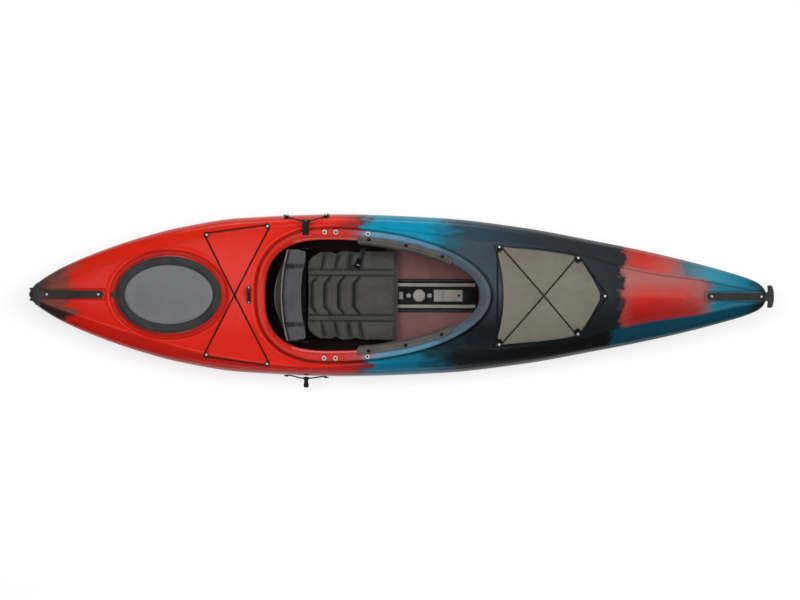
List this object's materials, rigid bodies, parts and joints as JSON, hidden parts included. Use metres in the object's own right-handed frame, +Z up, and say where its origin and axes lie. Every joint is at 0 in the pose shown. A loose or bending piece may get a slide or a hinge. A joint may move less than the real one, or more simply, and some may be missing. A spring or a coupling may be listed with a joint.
{
  "type": "crossover kayak",
  "caption": "Sit-inside crossover kayak with padded sliding seat, folding backrest, deck rigging, lift-off stern hatch, foot braces and drop-down skeg.",
  "frame": {"origin": "on the flat of the keel under the middle of the hull's length", "axes": "+X to the bow, +Y to port, +Z up"},
  "size_m": [3.228, 0.7592, 0.3719],
  "materials": {
    "hull_plastic": "rotomoulded red polyethylene, soft gloss",
    "deck_plastic": "rotomoulded polyethylene, red running into blue, soft gloss",
    "coaming_plastic": "rotomoulded polyethylene, same moulding as the deck",
    "brace_foam": "ridged warm grey closed-cell foam over a plastic core",
    "hatch_rubber": "moulded black rubber, slight sheen",
    "hatch_plate_plastic": "fine-grained grey moulding",
    "handle_rubber": "black moulded rubber",
    "stainless_steel": "bright stainless steel",
    "black_plastic": "black moulded nylon and polyethylene, fine grain",
    "fitting_plastic": "black moulded nylon",
    "grey_plastic": "grey moulded nylon",
    "rail_plastic": "pale greenish grey moulding",
    "pad_foam": "taupe closed-cell foam sheet, faint weave",
    "bulkhead_foam": "grey closed-cell foam",
    "seat_fabric": "dark grey woven nylon over foam",
    "shock_cord": "black braided cord"
  },
  "bodies": {
    "hull": {"hull_bottom": "hull_plastic", "deck": "deck_plastic", "cockpit_coaming": "coaming_plastic", "thigh_brace_port": "brace_foam", "thigh_brace_starboard": "brace_foam", "hatch_rim": "coaming_plastic", "bow_handle_strap": "handle_rubber", "stern_handle_strap": "handle_rubber", "bow_handle_screw_inner": "stainless_steel", "bow_handle_screw_outer": "stainless_steel", "stern_handle_screw_inner": "stainless_steel", "stern_handle_screw_outer": "stainless_steel", "security_bar": "black_plastic", "stern_fitting_aft_port": "fitting_plastic", "stern_fitting_aft_starboard": "fitting_plastic", "stern_fitting_fore_port": "fitting_plastic", "stern_fitting_fore_starboard": "fitting_plastic", "stern_shock_cord": "shock_cord", "foredeck_fitting_aft_port": "fitting_plastic", "foredeck_fitting_aft_starboard": "fitting_plastic", "foredeck_fitting_fore_port": "fitting_plastic", "foredeck_fitting_fore_starboard": "fitting_plastic", "foredeck_fitting_tip": "fitting_plastic", "foredeck_shock_cord": "shock_cord", "foredeck_pad": "pad_foam", "park_fitting_aft_port": "fitting_plastic", "park_fitting_fore_port": "fitting_plastic", "park_fitting_aft_starboard": "fitting_plastic", "park_fitting_fore_starboard": "fitting_plastic", "park_cord_port": "shock_cord", "park_cord_starboard": "shock_cord", "track_tray": "black_plastic", "seat_rail_port": "rail_plastic", "seat_rail_starboard": "rail_plastic", "track_block": "rail_plastic", "foot_rail_port": "black_plastic", "foot_rail_starboard": "black_plastic", "stern_bulkhead": "bulkhead_foam", "skeg_box": "black_plastic", "skeg_pin": "stainless_steel", "skeg_cable": "shock_cord", "skeg_slider_track": "black_plastic"},
    "hatch_cover": {"hatch_seal_ring": "hatch_rubber", "hatch_plate": "hatch_plate_plastic"},
    "seat": {"seat_base": "black_plastic", "seat_cushion": "seat_fabric", "back_hinge_bar": "black_plastic", "back_hinge_rod": "stainless_steel"},
    "backrest": {"back_arm_port": "black_plastic", "back_arm_starboard": "black_plastic", "backrest_cushion": "seat_fabric", "backrest_shell": "black_plastic"},
    "pedal_port": {"foot_pedal_port": "grey_plastic"},
    "pedal_starboard": {"foot_pedal_starboard": "grey_plastic"},
    "tab_port": {"park_tab_port": "black_plastic"},
    "tab_starboard": {"park_tab_starboard": "black_plastic"},
    "bow_grip": {"bow_handle_grip": "handle_rubber"},
    "stern_grip": {"stern_handle_grip": "handle_rubber"},
    "skeg": {"skeg_blade": "black_plastic"},
    "skeg_slider": {"skeg_slider_knob": "grey_plastic"}
  },
  "joints": [
    {"name": "hatch_lift", "type": "slide", "parent": "hull", "child": "hatch_cover", "axis": [0, 0, 1], "range_m": [0, 0.25]},
    {"name": "seat_slide", "type": "slide", "parent": "hull", "child": "seat", "axis": [1, 0, 0], "range_m": [-0.02, 0.08]},
    {"name": "back_fold", "type": "hinge", "parent": "seat", "child": "backrest", "pos_m": [-0.412, 0, 0.072], "axis": [0, 1, 0], "range_deg": [0, 45]},
    {"name": "pedal_port_slide", "type": "slide", "parent": "hull", "child": "pedal_port", "axis": [0.986, -0.1665, 0], "range_m": [-0.2, 0.115]},
    {"name": "pedal_starboard_slide", "type": "slide", "parent": "hull", "child": "pedal_starboard", "axis": [0.986, 0.1665, 0], "range_m": [-0.2, 0.115]},
    {"name": "tab_port_swing", "type": "hinge", "parent": "hull", "child": "tab_port", "pos_m": [-0.3975, 0.322, 0.309], "axis": [-1, 0, 0], "range_deg": [0, 150]},
    {"name": "tab_starboard_swing", "type": "hinge", "parent": "hull", "child": "tab_starboard", "pos_m": [-0.3975, -0.362, 0.186], "axis": [-1, 0, 0], "range_deg": [-70, 80]},
    {"name": "bow_grip_swing", "type": "hinge", "parent": "hull", "child": "bow_grip", "pos_m": [1.5863, 0, 0.31586], "axis": [0, -1, 0], "range_deg": [0, 55]},
    {"name": "stern_grip_swing", "type": "hinge", "parent": "hull", "child": "stern_grip", "pos_m": [-1.5343, 0, 0.27421], "axis": [0, 1, 0], "range_deg": [0, 55]},
    {"name": "skeg_drop", "type": "hinge", "parent": "hull", "child": "skeg", "pos_m": [-1.02, 0, 0.058], "axis": [0, -1, 0], "range_deg": [0, 65]},
    {"name": "skeg_slider_slide", "type": "slide", "parent": "hull", "child": "skeg_slider", "axis": [1, 0, 0], "range_m": [0, 0.091]}
  ],
  "couplings": [
    {"joint": "skeg_slider_slide", "follows": "skeg_drop", "m_per_rad": 0.0794}
  ]
}
